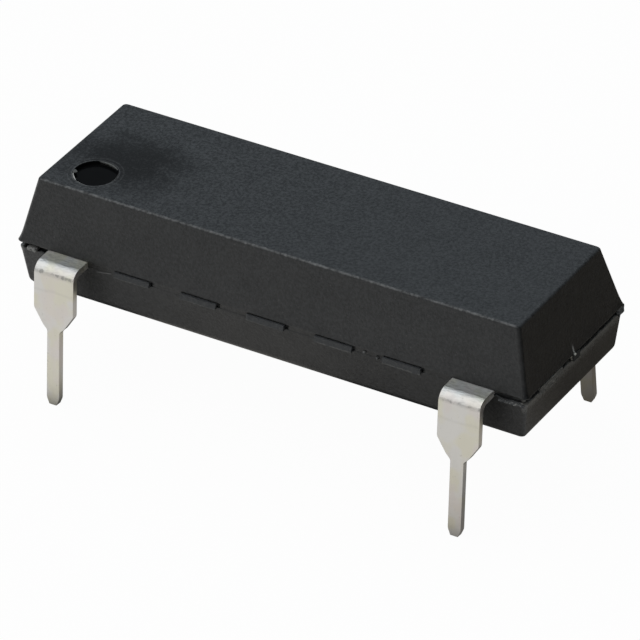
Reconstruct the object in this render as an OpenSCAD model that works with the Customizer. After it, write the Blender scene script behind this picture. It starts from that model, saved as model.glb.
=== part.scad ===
// Crystal oscillator in a moulded package with four leads on the 14-position dual in-line grid.
// Lead tips stand on z = 0. X runs along the package, leads 1 and 7 are in front (-Y), leads 8
// and 14 behind (+Y). The lead frame lies in the parting plane of the moulding, with the quartz
// unit in a window between its rails and the circuit die on the ground pad at the lead 1 end.

/* [Moulding] */
// Length of the moulding past the middle of its end leads
end_reach = 1.94; // [1.6:0.01:2.3]
// Width at the parting plane
body_w = 6.37; // [6.1:0.01:6.5]
// Height above the parting plane
upper_h = 2.32; // [2.2:0.01:2.6]
// Depth below the parting plane
lower_h = 1.73; // [1.5:0.01:1.8]
// Draft of the upper half's walls, in degrees
upper_draft = 13; // [5:0.5:14]
// Draft of the lower half's walls, in degrees
lower_draft = 6.7; // [3:0.1:10]
// Radius of the upright corners
corner_r = 0.14; // [0.1:0.02:0.3]
// Radius round the top face
top_edge_r = 0.08; // [0.04:0.01:0.2]
// Radius round the bottom face
bottom_edge_r = 0.27; // [0.1:0.01:0.3]

/* [Lead 1 mark] */
// Width of the round mark across its mouth
mark_d = 1.54; // [1.3:0.02:2]
// Width of the mark's flat floor
mark_floor_d = 1.28; // [0.6:0.02:1.28]
// Depth of the mark
mark_depth = 0.16; // [0.08:0.02:0.24]
// Distance from the end of the moulding to the mark's middle
mark_from_end = 2.06; // [1.9:0.01:2.3]
// Distance from the middle line to the mark's middle
mark_from_middle = 1.52; // [1:0.02:1.54]

/* [Traces of the mould] */
// Width of a flash stub at an empty lead position
stub_w = 1.4; // [1.1:0.02:1.5]
// How far a flash stub stands out of the moulding
stub_out = 0.12; // [0.06:0.02:0.2]
// Height of a flash stub
stub_h = 0.2; // [0.16:0.01:0.24]
// Depth of the open seam under the upper half's rim
seam_depth = 0.1; // [0.05:0.01:0.15]
// Height of the open seam
seam_h = 0.08; // [0.04:0.01:0.1]
// Length of the broken gate on the end face
gate_w = 1.4; // [1:0.1:1.6]
// Distance of the gate's middle in front of the middle line
gate_y = 1.6; // [1.3:0.05:1.6]
// Height of the broken gate
gate_h = 0.36; // [0.2:0.02:0.4]
// How far the broken gate stands out
gate_out = 0.06; // [0.04:0.01:0.1]

/* [Leads] */
// Spacing of the lead grid
pitch = 2.54; // [2.5:0.01:2.58]
// Width over the outside of both rows, just under the bends
row_w = 8.17; // [7.9:0.01:8.4]
// Height of the lead frame's top above the lead tips
frame_top = 5.1; // [4.9:0.05:5.6]
// Thickness of the sheet that the leads are cut from
lead_t = 0.25; // [0.22:0.01:0.26]
// Inside radius of the bends
bend_r = 0.18; // [0.05:0.01:0.25]
// Outward lean of the legs, in degrees
splay = 5.1; // [0:0.1:8]
// Width of the shoulders
shoulder_w = 1.52; // [1.4:0.02:1.6]
// Height of the shoulders' lower corners above the tips
shoulder_z = 3.46; // [3.3:0.02:3.7]
// Width between the kinks of the taper
kink_w = 0.82; // [0.8:0.02:1]
// Height of the kinks above the tips
kink_z = 2.92; // [2.86:0.01:3.1]
// Height of the pins' upper ends above the tips
pin_l = 2.75; // [2.6:0.01:2.84]
// Width of the pins
pin_w = 0.48; // [0.4:0.02:0.56]
// Width of the pins' blunt ends
tip_w = 0.28; // [0.1:0.02:0.3]
// Height of the taper at the pins' ends
tip_h = 0.24; // [0.2:0.01:0.5]

/* [Lead frame inside] */
// Length of the shoulders held in the moulding
shoulder_in = 0.35; // [0.3:0.01:0.5]
// Width of the fingers inside
finger_w = 1.2; // [1:0.05:1.3]
// Distance from the middle line to the inner ends of fingers 1 and 14
finger_end = 0.55; // [0.5:0.05:0.7]
// Width of the rails beside the quartz unit
rail_w = 0.8; // [0.5:0.05:0.9]
// Width of the tie bars that hold the ground pad
tie_w = 0.4; // [0.3:0.05:0.5]
// How far the cut tie bars stand out of the ends
tie_out = 0.06; // [0.03:0.01:0.15]
// Length of the ground pad
pad_l = 2.2; // [1.9:0.05:2.3]
// Width of the ground pad
pad_w = 2.2; // [2:0.05:2.4]
// Width of the neck between the ground pad and its rail
neck_w = 0.8; // [0.5:0.05:1.1]
// Length of the tabs for the quartz unit's wires
tab_l = 1.5; // [1.4:0.05:1.6]
// Width of the tabs
tab_w = 0.8; // [0.6:0.02:0.84]
// Gap between the ground pad and the tabs
frame_gap = 0.3; // [0.2:0.05:0.35]
// How far the output rail reaches past the ground pad's edge
output_reach = 1.5; // [1.4:0.05:1.8]

/* [Quartz unit] */
// Outside width of the can
can_d = 3; // [2.8:0.05:3.1]
// Length of the can
can_l = 8.8; // [7.5:0.05:10.5]
// Thickness of the can's wall
can_t = 0.15; // [0.1:0.01:0.2]
// Outside radius round the can's closed end
can_end_r = 0.5; // [0.3:0.05:0.8]
// Gap in the moulding between the can and the lead frame
can_gap = 0.15; // [0.1:0.01:0.2]
// Length of the header ring
header_l = 0.9; // [0.7:0.05:1.1]
// Wall of the header ring
header_t = 0.3; // [0.2:0.02:0.34]
// Spacing of the quartz unit's wires
wire_pitch = 1.1; // [1.04:0.02:1.2]
// Width of the quartz unit's wires
wire_d = 0.3; // [0.24:0.02:0.34]
// Length of the wires inside the can
wire_in = 1.3; // [1.1:0.05:1.5]
// Length of the wires' straight stretch outside the can
wire_out = 0.12; // [0.1:0.01:0.15]
// Length over which the wires drop to their tabs
wire_drop_l = 0.3; // [0.25:0.01:0.35]
// Length of each tab left clear for its bond wire
wire_short = 0.5; // [0.45:0.05:0.6]
// Length of the quartz strip
blank_l = 6; // [5:0.1:6.4]
// Width of the quartz strip
blank_w = 1.8; // [1.6:0.05:2]
// Thickness of the quartz strip
blank_t = 0.14; // [0.1:0.01:0.2]
// Length of the bevels at the strip's ends
blank_bevel = 0.5; // [0.3:0.05:0.7]
// Thickness of the strip's bevelled ends
blank_edge_t = 0.06; // [0.04:0.01:0.08]
// Gap between the header and the quartz strip
blank_gap = 0.5; // [0.4:0.05:0.6]
// Width of the dabs that hold the strip to its wires
dab_d = 0.56; // [0.5:0.02:0.64]
// Height of the dabs over the strip
dab_over = 0.06; // [0.04:0.01:0.1]

/* [Circuit die] */
// Length of the die
die_l = 1.3; // [1.1:0.05:1.5]
// Width of the die
die_w = 1.1; // [1:0.05:1.3]
// Thickness of the die
die_h = 0.3; // [0.2:0.02:0.36]
// Thickness of the adhesive under the die
attach_t = 0.03; // [0.02:0.01:0.05]
// How far the adhesive reaches past the die
attach_rim = 0.06; // [0.04:0.01:0.1]
// Distance of the bond balls from the die's edges
ball_in = 0.14; // [0.1:0.01:0.18]
// Width of the bond wires
bond_d = 0.03; // [0.03:0.005:0.04]
// Width of the bond balls
ball_d = 0.08; // [0.07:0.01:0.1]
// Height of the bond balls
ball_h = 0.02; // [0.015:0.005:0.03]
// Rise of the bond wires' loops, as the height of their first control point over the die
loop_h = 0.42; // [0.3:0.02:0.6]
// Length of the flat stitch at a bond wire's end
stitch_l = 0.08; // [0.05:0.01:0.12]
// Distance of the stitches from the edges that they are bonded beside
land_in = 0.25; // [0.2:0.01:0.3]

/* [Hidden] */

// Faces round a true curve, faces round the moulding's blended corners, steps over its rims
round_fn = 64;
corner_fn = 32;
edge_steps = 4;
end_steps = 6;
// Thickness of the plates that the moulding's halves are spanned between
plate = 0.001;
// Sides of the quartz unit's wires and of the bond wires, each a multiple of four
wire_sides = 12;
bond_sides = 8;
bond_steps = 8;
ball_sides = 12;
// Reach of a cutter past the face that it cuts
past = 1;

// Lead grid: each row has as many positions as the lead frame needs between its end leads
contents_l = pad_l + tab_l + wire_drop_l + wire_out + can_l + can_gap + 2 * frame_gap;
row_steps = ceil((finger_w + contents_l) / pitch);
pin_x = row_steps * pitch / 2;
empty_positions = [1:row_steps - 1];

// Moulding
body_l = 2 * (pin_x + end_reach);
top_z = frame_top + upper_h;
bottom_z = frame_top - lower_h;
frame_z = frame_top - lead_t;
seam_z = frame_top - seam_h;
mark_x = mark_from_end - body_l / 2;

// Leads, at the end positions of each row
bend_out_r = bend_r + lead_t;
bend_y = row_w / 2 - bend_out_r;
bend_z = frame_top - bend_out_r;
leg_l = bend_z / cos(splay) + past;
shoulder_y = body_w / 2 - shoulder_in;
finger_x0 = pin_x - finger_w / 2;
finger_x1 = pin_x + finger_w / 2;
rail_y0 = can_d / 2 + can_gap;
rail_y1 = rail_y0 + rail_w;
tie_end = body_l / 2 + tie_out;

// Quartz unit, laid out leftwards from fingers 7 and 8
can_x1 = finger_x0 - can_gap;
can_x0 = can_x1 - can_l;
can_z = (top_z + bottom_z) / 2;
header_x1 = can_x0 + header_l;
header_r = can_d / 2 - can_t;
seal_r = header_r - header_t;
wire_y = wire_pitch / 2;
wire_flat = wire_d / 2 * cos(180 / wire_sides);
tab_x1 = can_x0 - wire_out - wire_drop_l;
tab_x0 = tab_x1 - tab_l;
blank_x0 = header_x1 + blank_gap;
blank_z = can_z + wire_flat;

// Ground pad and circuit die
pad_x1 = tab_x0 - frame_gap;
pad_x0 = pad_x1 - pad_l;
output_x0 = pad_x1 - output_reach;
die_x = (pad_x0 + pad_x1) / 2;
die_z = frame_top + attach_t;
die_top = die_z + die_h;
ball_x = die_l / 2 - ball_in;
ball_y = die_w / 2 - ball_in;
bond_flat = bond_d / 2 * cos(180 / bond_sides);

// Point of a cubic curve with end points p and s and control points q and r
function curve(t, p, q, r, s) =
    pow(1 - t, 3) * p + 3 * t * pow(1 - t, 2) * q + 3 * t * t * (1 - t) * r + pow(t, 3) * s;

function unit(v) = v / norm(v);

// Direction of a path at point i, halfway between its two stretches there
function heading(path, i) =
    let (last = len(path) - 1)
    let (before = unit(path[max(i, 1)] - path[max(i, 1) - 1]))
    let (after = unit(path[min(i + 1, last)] - path[min(i, last - 1)]))
    unit(before + after);

// Mitred ring of a wire about point i of a path given as [run, height]
function wire_ring(path, i, r, sides) =
    let (t = heading(path, i))
    let (j = max(i, 1))
    let (d = unit(path[j] - path[j - 1]))
    let (stretch = 1 / (t * d))
    [for (k = [0:sides - 1])
        let (a = 360 * (k + 0.5) / sides)
        let (up = r * sin(a) * stretch)
        [path[i].x - up * t.y, r * cos(a), path[i].y + up * t.x]];

// Wire of even width along a path in the X-Z plane, with flats above and below
module wire(path, r, sides) {
    rings = len(path);
    points = [for (i = [0:rings - 1]) each wire_ring(path, i, r, sides)];
    walls = [for (i = [0:rings - 2]) for (k = [0:sides - 1])
        let (n = (k + 1) % sides)
        [i * sides + k, (i + 1) * sides + k, (i + 1) * sides + n, i * sides + n]];
    first = [for (k = [0:sides - 1]) k];
    last = [for (k = [sides - 1:-1:0]) (rings - 1) * sides + k];
    polyhedron(points, concat([first, last], walls));
}

// Rounded rectangle about the middle
module rounded_plan(l, w, r) {
    offset(r = r, $fn = corner_fn) square([l - 2 * r, w - 2 * r], center = true);
}

// One half of the moulding: a drafted block of height h with a rounded rim at its far face
module moulding_half(h, draft, edge_r) {
    hull() {
        linear_extrude(plate) rounded_plan(body_l, body_w, corner_r);
        for (i = [0:edge_steps]) {
            a = 90 * i / edge_steps;
            z = h - edge_r * (1 - sin(a));
            in = z * tan(draft) + edge_r * (1 - cos(a));
            translate([0, 0, z - plate])
                linear_extrude(plate)
                    rounded_plan(body_l - 2 * in, body_w - 2 * in, corner_r);
        }
    }
}

// Flash stub left by the empty slot of the mould at one lead position, broken off at a lean
module flash_stub() {
    y = body_w / 2;
    rotate([90, 0, -90])
        linear_extrude(stub_w, center = true)
            polygon([[shoulder_y, seam_z - stub_h], [y + stub_out, seam_z - stub_h],
                     [y + stub_out, seam_z - stub_h * 2 / 3], [y + stub_out / 4, seam_z],
                     [shoulder_y, seam_z]]);
}

// Open seam under the upper half's rim: round both ends up to the leads, and over each stub
module open_seams() {
    lead_edge = pin_x + shoulder_w / 2;
    translate([0, 0, seam_z])
        linear_extrude(seam_h)
            difference() {
                square([body_l + 2 * past, body_w + 2 * past], center = true);
                square([body_l - 2 * seam_depth, body_w - 2 * seam_depth], center = true);
                difference() {
                    square([2 * lead_edge, body_w + 2 * past], center = true);
                    for (i = empty_positions)
                        translate([i * pitch - pin_x, 0])
                            square([stub_w, body_w + 2 * past], center = true);
                }
            }
}

// Stump of the gate that the mould was filled through
module gate_stump() {
    x0 = body_l / 2 - seam_depth - past;
    translate([x0, -gate_y - gate_w / 2, frame_top - gate_h])
        cube([body_l / 2 + gate_out - x0, gate_w, gate_h]);
}

// Round hollow that marks the lead 1 end
module lead_1_mark() {
    floor_r = mark_floor_d / 2;
    wall_in = mark_d / 2 - floor_r;
    mouth_r = mark_d / 2 + wall_in * past / mark_depth;
    translate([mark_x, -mark_from_middle, top_z - mark_depth])
        rotate_extrude($fn = round_fn)
            polygon([[0, 0], [floor_r, 0], [mouth_r, mark_depth + past], [0, mark_depth + past]]);
}

// Sheet of the lead frame over a plan
module sheet() {
    translate([0, 0, frame_z]) linear_extrude(lead_t) children();
}

// Shoulder, bend and leg seen from the side, with the distance from the middle line along x
module leg_side() {
    translate([shoulder_y, frame_z]) square([bend_y - shoulder_y, lead_t]);
    translate([bend_y, bend_z]) {
        intersection() {
            difference() {
                circle(r = bend_out_r, $fn = round_fn);
                circle(r = bend_r, $fn = round_fn);
            }
            polygon([[0, 0], [cos(splay), sin(splay)], [1, 1], [0, 1]]);
        }
        rotate(splay) translate([bend_r, -leg_l]) square([lead_t, leg_l]);
    }
}

// Leg seen from the front: shoulder, two-stage taper, pin and blunt tip
module leg_front() {
    half = [[shoulder_w, frame_top + past], [shoulder_w, shoulder_z], [kink_w, kink_z],
            [pin_w, pin_l], [pin_w, tip_h], [tip_w, 0]] / 2;
    right = [for (p = half) [p.x, 2 * p.y]];
    left = [for (i = [len(right) - 1:-1:0]) [-right[i].x, right[i].y]];
    polygon(concat(right, left));
}

// Outer part of a lead of the front row
module leg(x) {
    translate([x, 0, 0])
        intersection() {
            rotate([90, 0, -90]) linear_extrude(shoulder_w + past, center = true) leg_side();
            rotate([90, 0, 0]) linear_extrude(row_w) leg_front();
        }
}

// Plans of the lead frame inside the moulding, each with its leads in the front row
module plan_signal() {
    translate([-finger_x1, -body_w / 2]) square([finger_w, body_w / 2 - finger_end]);
}

module plan_ground() {
    translate([finger_x0, -body_w / 2]) square([finger_w, (body_w + tie_w) / 2]);
    translate([finger_x0, -tie_w / 2]) square([tie_end - finger_x0, tie_w]);
    translate([pad_x0, -rail_y1]) square([finger_x1 - pad_x0, rail_w]);
    translate([pad_x0, -rail_y1]) square([neck_w, rail_y1]);
    translate([pad_x0, -pad_w / 2]) square([pad_l, pad_w]);
    translate([-tie_end, -tie_w / 2]) square([tie_end + pad_x1, tie_w]);
}

module plan_output() {
    translate([finger_x0, -body_w / 2]) square([finger_w, body_w / 2 - rail_y0]);
    translate([output_x0, -rail_y1]) square([finger_x1 - output_x0, rail_w]);
}

module plan_tab(side) {
    translate([tab_x0, side * wire_y - tab_w / 2]) square([tab_l, tab_w]);
}

// Solids of the four leads, without colour
module signal_lead() {
    sheet() plan_signal();
    leg(-pin_x);
}

module ground_lead() {
    sheet() plan_ground();
    leg(pin_x);
}

module output_lead() {
    sheet() plan_output();
    leg(pin_x);
}

// Outline of the can about its axis, as points [radius, distance from the header face]
function can_outline(r, l, end_r) =
    concat([[0, 0], [r, 0]],
           [for (i = [0:end_steps])
               let (a = 90 * i / end_steps)
               [r - end_r * (1 - cos(a)), l - end_r * (1 - sin(a))]],
           [[0, l]]);

module along_can() {
    translate([can_x0, 0, can_z]) rotate([0, 90, 0]) children();
}

module can_envelope() {
    along_can() rotate_extrude($fn = round_fn) polygon(can_outline(can_d / 2, can_l, can_end_r));
}

module crystal_wire(side) {
    x0 = header_x1 + wire_in;
    path = [[0, can_z], [x0 - can_x0 + wire_out, can_z], [x0 - tab_x1, frame_top + wire_flat],
            [x0 - tab_x0 - wire_short, frame_top + wire_flat]];
    translate([x0, side * wire_y, 0]) rotate(180) wire(path, wire_d / 2, wire_sides);
}

module strip() {
    edge = (blank_t - blank_edge_t) / 2;
    half = [[0, edge], [blank_bevel, 0], [blank_l - blank_bevel, 0], [blank_l, edge]];
    back = [for (i = [3:-1:0]) [half[i].x, blank_t - half[i].y]];
    translate([blank_x0, 0, blank_z])
        rotate([90, 0, 0]) linear_extrude(blank_w, center = true) polygon(concat(half, back));
}

module strip_dab(side) {
    difference() {
        translate([blank_x0, side * wire_y, can_z])
            cylinder(d = dab_d, h = wire_flat + blank_t + dab_over, $fn = round_fn);
        crystal_wire(side);
        strip();
    }
}

module die_block() {
    translate([die_x - die_l / 2, -die_w / 2, die_z]) cube([die_l, die_w, die_h]);
}

module attach_layer() {
    l = die_l + 2 * attach_rim;
    w = die_w + 2 * attach_rim;
    translate([die_x - l / 2, -w / 2, frame_top]) cube([l, w, attach_t]);
}

// Bond wire from a ball on the die to a stitch on the lead frame, both given as [x, y]
module bond_wire(ball, stitch) {
    run = norm(stitch - ball);
    start = [0, die_top + ball_h];
    end = [run - stitch_l, frame_top + bond_flat];
    rise = start + [0, loop_h];
    fall = [run / 2, end.y];
    loop = [for (i = [0:bond_steps]) curve(i / bond_steps, start, rise, fall, end)];
    translate([ball.x, ball.y, 0]) {
        rotate(atan2(stitch.y - ball.y, stitch.x - ball.x))
            wire(concat([[0, die_top]], loop, [[run, end.y]]), bond_d / 2, bond_sides);
        translate([0, 0, die_top]) cylinder(d = ball_d, h = ball_h, $fn = ball_sides);
    }
}

// Bond wires: the signal leads from the die's left corners, the quartz unit from its right ones
module bond_signal(side) {
    bond_wire([die_x - ball_x, side * ball_y],
              [land_in - finger_x0 - finger_w / 2, side * (finger_end + land_in)]);
}

module bond_tab(side) {
    bond_wire([die_x + ball_x, side * ball_y], [tab_x0 + land_in, side * wire_y]);
}

module bond_ground() {
    bond_wire([die_x, -ball_y], [die_x, land_in / 2 - pad_w / 2]);
}

module bond_output() {
    bond_wire([die_x, ball_y], [die_x, rail_y0 + land_in]);
}

// Everything that the moulding was cast round
module cast_in() {
    sheet() plan_signal();
    mirror([0, 1, 0]) sheet() plan_signal();
    sheet() plan_ground();
    mirror([0, 1, 0]) sheet() plan_output();
    shoulders();
    sheet() plan_tab(-1);
    sheet() plan_tab(1);
    attach_layer();
    die_block();
    can_envelope();
    crystal_wire(-1);
    crystal_wire(1);
    bond_signal(-1);
    bond_signal(1);
    bond_tab(-1);
    bond_tab(1);
    bond_ground();
    bond_output();
}

// The wide shoulders of all four leads where they enter the moulding
module shoulders() {
    sheet()
        for (x = [-pin_x, pin_x], side = [-1, 1])
            translate([x, side * (shoulder_y + bend_y) / 2])
                square([shoulder_w, bend_y - shoulder_y], center = true);
}

module moulded_body() {
    color([0.17, 0.17, 0.18])
        difference() {
            union() {
                translate([0, 0, frame_top]) moulding_half(upper_h, upper_draft, top_edge_r);
                difference() {
                    translate([0, 0, frame_top])
                        mirror([0, 0, 1]) moulding_half(lower_h, lower_draft, bottom_edge_r);
                    open_seams();
                }
                for (i = empty_positions, side = [0, 1])
                    mirror([0, side, 0]) translate([i * pitch - pin_x, 0, 0]) flash_stub();
                gate_stump();
            }
            lead_1_mark();
            cast_in();
        }
}

module lead_1() {
    color([0.72, 0.71, 0.68]) signal_lead();
}

module lead_7() {
    color([0.72, 0.71, 0.68]) ground_lead();
}

module lead_8() {
    color([0.72, 0.71, 0.68]) mirror([0, 1, 0]) output_lead();
}

module lead_14() {
    color([0.72, 0.71, 0.68]) mirror([0, 1, 0]) signal_lead();
}

module crystal_tab_front() {
    color([0.72, 0.71, 0.68]) sheet() plan_tab(-1);
}

module crystal_tab_back() {
    color([0.72, 0.71, 0.68]) sheet() plan_tab(1);
}

module die_attach() {
    color([0.75, 0.75, 0.75]) attach_layer();
}

module circuit_die() {
    color([0.3, 0.32, 0.38]) die_block();
}

module bond_wire_lead_1() {
    color([0.9, 0.7, 0.3]) bond_signal(-1);
}

module bond_wire_lead_14() {
    color([0.9, 0.7, 0.3]) bond_signal(1);
}

module bond_wire_ground() {
    color([0.9, 0.7, 0.3]) bond_ground();
}

module bond_wire_output() {
    color([0.9, 0.7, 0.3]) bond_output();
}

module bond_wire_tab_front() {
    color([0.9, 0.7, 0.3]) bond_tab(-1);
}

module bond_wire_tab_back() {
    color([0.9, 0.7, 0.3]) bond_tab(1);
}

// Drawn can, closed at its right-hand end and open where the header is pressed in
module crystal_can() {
    color([0.8, 0.8, 0.78])
        along_can()
            rotate_extrude($fn = round_fn)
                difference() {
                    polygon(can_outline(can_d / 2, can_l, can_end_r));
                    translate([0, -past])
                        polygon(can_outline(header_r, can_l - can_t + past, can_end_r - can_t));
                }
}

module crystal_header() {
    color([0.78, 0.72, 0.5])
        along_can()
            difference() {
                cylinder(r = header_r, h = header_l, $fn = round_fn);
                translate([0, 0, -past]) cylinder(r = seal_r, h = header_l + 2 * past, $fn = round_fn);
            }
}

module crystal_seal() {
    color([0.15, 0.2, 0.3])
        difference() {
            along_can() cylinder(r = seal_r, h = header_l, $fn = round_fn);
            crystal_wire(-1);
            crystal_wire(1);
        }
}

module crystal_wire_front() {
    color([0.78, 0.72, 0.5]) crystal_wire(-1);
}

module crystal_wire_back() {
    color([0.78, 0.72, 0.5]) crystal_wire(1);
}

module quartz_strip() {
    color([0.85, 0.9, 0.92]) strip();
}

module strip_dab_front() {
    color([0.75, 0.75, 0.75]) strip_dab(-1);
}

module strip_dab_back() {
    color([0.75, 0.75, 0.75]) strip_dab(1);
}

moulded_body();
lead_1();
lead_7();
lead_8();
lead_14();
crystal_tab_front();
crystal_tab_back();
die_attach();
circuit_die();
bond_wire_lead_1();
bond_wire_lead_14();
bond_wire_ground();
bond_wire_output();
bond_wire_tab_front();
bond_wire_tab_back();
crystal_can();
crystal_header();
crystal_seal();
crystal_wire_front();
crystal_wire_back();
quartz_strip();
strip_dab_front();
strip_dab_back();
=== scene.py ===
"""Crystal oscillator in a moulded four-lead package: its finished pieces, studio and camera."""
import math
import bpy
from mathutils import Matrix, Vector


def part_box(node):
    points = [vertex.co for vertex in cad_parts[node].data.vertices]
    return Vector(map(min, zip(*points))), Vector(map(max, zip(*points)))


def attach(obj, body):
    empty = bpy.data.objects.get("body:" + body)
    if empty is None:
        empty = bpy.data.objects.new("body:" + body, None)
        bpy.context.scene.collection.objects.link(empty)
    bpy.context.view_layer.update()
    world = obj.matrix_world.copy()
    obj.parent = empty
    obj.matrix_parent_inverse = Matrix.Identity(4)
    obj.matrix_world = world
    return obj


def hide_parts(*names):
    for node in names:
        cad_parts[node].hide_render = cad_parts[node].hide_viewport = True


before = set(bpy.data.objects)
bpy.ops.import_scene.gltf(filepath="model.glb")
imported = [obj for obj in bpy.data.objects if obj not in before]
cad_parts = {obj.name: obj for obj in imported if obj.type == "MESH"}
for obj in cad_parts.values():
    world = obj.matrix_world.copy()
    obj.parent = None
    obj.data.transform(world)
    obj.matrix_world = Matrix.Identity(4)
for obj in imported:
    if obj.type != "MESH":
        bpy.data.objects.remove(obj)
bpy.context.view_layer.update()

from types import SimpleNamespace

import bmesh
import bpy
from bpy.props import FloatProperty, FloatVectorProperty, IntProperty, PointerProperty
from bpy.types import Operator, Panel, PropertyGroup
from mathutils import Matrix, Vector, noise

bl_info = {
    "name": "Crystal Oscillator",
    "version": (1, 0, 0),
    "blender": (4, 5, 0),
    "location": "3D View > Sidebar > Oscillator",
    "description": "Moulded body, formed leads, quartz unit and circuit of a crystal oscillator",
    "category": "Add Mesh",
}

# Metres in a millimetre. Meshes are made in millimetres and scaled when their piece is finished
MM = 0.001
BODY = "root"


def node_box(node):
    """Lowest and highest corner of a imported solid, in millimetres."""
    low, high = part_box(node)
    return low / MM, high / MM


BODY_LOW, BODY_HIGH = node_box("moulded_body")
SHEET_LOW, SHEET_HIGH = node_box("crystal_tab_front")
LEAD_LOW, LEAD_HIGH = node_box("lead_1")
# Height of the parting plane, which is the top of the lead frame, and the frame's thickness
PARTING_Z = SHEET_HIGH.z
SHEET_THICKNESS = SHEET_HIGH.z - SHEET_LOW.z
# Distance of the end leads from the middle of their row, and the spacing of the seven positions
END_LEAD_X = -(LEAD_LOW.x + LEAD_HIGH.x) / 2
LEAD_PITCH = END_LEAD_X / 3
RIM_HALF_LENGTH = -BODY_LOW.x


def length(name, description, millimetres):
    """A setting that is a length."""
    return FloatProperty(name=name, description=description, default=millimetres * MM,
                         min=0, precision=5, subtype="DISTANCE", unit="LENGTH")


def angle(name, description, degrees):
    """A setting that is an angle."""
    return FloatProperty(name=name, description=description, default=math.radians(degrees),
                         subtype="ANGLE", unit="ROTATION")


def colour(name, description, red, green, blue):
    """A setting that is a linear colour."""
    return FloatVectorProperty(name=name, description=description, default=(red, green, blue),
                               min=0, max=1, size=3, subtype="COLOR")


def share(name, description, default):
    """A setting between 0 and 1."""
    return FloatProperty(name=name, description=description, default=default, min=0, max=1,
                         subtype="FACTOR")


class MouldingSettings(PropertyGroup):
    """Sizes of the moulded body."""
    rim_width: length("Rim Width", "Width at the parting plane", 6.37)
    corner_radius: length("Corner Radius", "Radius of the upright corners", 0.14)
    upper_draft: angle("Upper Draft", "Lean of the walls over the parting plane", 13)
    lower_draft: angle("Lower Draft", "Lean of the walls under the parting plane", 6.7)
    top_edge: length("Top Edge", "Radius round the top face", 0.08)
    bottom_edge: length("Bottom Edge", "Radius round the bottom face", 0.27)
    seam_height: length("Seam Height", "Height of the open seam under the rim", 0.17)
    seam_depth: length("Seam Depth", "Depth of the open seam", 0.2)
    lip: length("Lip", "How far flash lets the rim stand out at the ends", 0.04)
    mark_width: length("Mark Width", "Width of the lead 1 mark at its mouth", 1.54)
    mark_floor: length("Mark Floor", "Width of the mark's floor", 1.4)
    mark_depth: length("Mark Depth", "Depth of the mark", 0.12)
    mark_from_end: length("Mark from End", "Distance of the mark from the rim's end", 2.06)
    mark_from_middle: length("Mark from Middle", "Distance of the mark from the middle", 1.52)


class FlashSettings(PropertyGroup):
    """Sizes of what broke off when the moulding left its mould."""
    stub_width: length("Stub Width", "Width of the stubs at empty lead positions", 1.36)
    stub_height: length("Stub Height", "Height of the stubs", 0.2)
    stub_drop: length("Stub Drop", "Height of the gap over the stubs", 0.027)
    stub_shift: length("Stub Shift", "How far the stubs lie towards lead 1", 0.06)
    stub_out: length("Stub Reach", "How far the stubs stand out", 0.09)
    gate_width: length("Gate Width", "Width of the broken gate", 1.4)
    gate_height: length("Gate Height", "Height of the broken gate", 0.28)
    gate_out: length("Gate Reach", "How far the broken gate stands out", 0.04)
    gate_y: length("Gate Place", "Distance of the gate in front of the middle", 1.6)
    seed: IntProperty(name="Seed", description="Seed of the broken faces", default=7)


class LeadSettings(PropertyGroup):
    """Sizes of the formed leads."""
    bend_line: length("Bend Line", "Distance of the bends from the middle line", 3.655)
    bend_radius: length("Bend Radius", "Inside radius of the bends", 0.18)
    splay: angle("Splay", "Outward lean of the legs", 5.1)
    shoulder_width: length("Shoulder Width", "Width of the shoulders", 1.52)
    shoulder_z: length("Shoulder Height", "Height of the shoulders' lower corners", 3.46)
    kink_width: length("Kink Width", "Width where the taper changes", 0.82)
    kink_z: length("Kink Height", "Height where the taper changes", 2.92)
    pin_width: length("Pin Width", "Width of the pins", 0.48)
    pin_length: length("Pin Length", "Height of the pins' upper ends", 2.75)
    tip_width: length("Tip Width", "Width of the blunt ends", 0.28)
    tip_height: length("Tip Height", "Height of the taper at the ends", 0.24)
    corner_ease: length("Corner Ease", "Reach of the outline's rounded corners", 0.07)
    edge_radius: length("Edge Radius", "Radius of the sheet's edges", 0.02)


class FinishSettings(PropertyGroup):
    """Colours of the finishes."""
    compound: colour("Moulding Compound", "Filled epoxy", 0.0075, 0.0078, 0.0084)
    broken: colour("Broken Compound", "Epoxy where flash broke off", 0.1, 0.099, 0.094)
    # Pale flash; on the pale burrs in the mark's mouth this colour is a painted highlight
    pale_flash_and_highlight: colour("Thin Flash", "Slivers of flash that let light through", 0.42, 0.41, 0.39)
    plating: colour("Lead Plating", "Dull tin plating", 0.7, 0.69, 0.67)
    sheared: colour("Sheared Metal", "Cut ends of the tie bars", 0.03, 0.029, 0.027)
    nickel: colour("Nickel", "Plating of the quartz unit's can", 0.62, 0.6, 0.55)
    solder: colour("Solder", "Plating of the header and its wires", 0.6, 0.58, 0.54)
    gold: colour("Gold", "Bond wires", 0.9, 0.62, 0.24)
    silicon: colour("Silicon", "Circuit die", 0.09, 0.1, 0.13)
    silver: colour("Silver Adhesive", "Silver-filled epoxy", 0.5, 0.5, 0.49)
    glass: colour("Seal Glass", "Glass round the header's wires", 0.02, 0.05, 0.09)
    quartz: colour("Quartz", "Quartz strip", 0.75, 0.8, 0.82)


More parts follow.
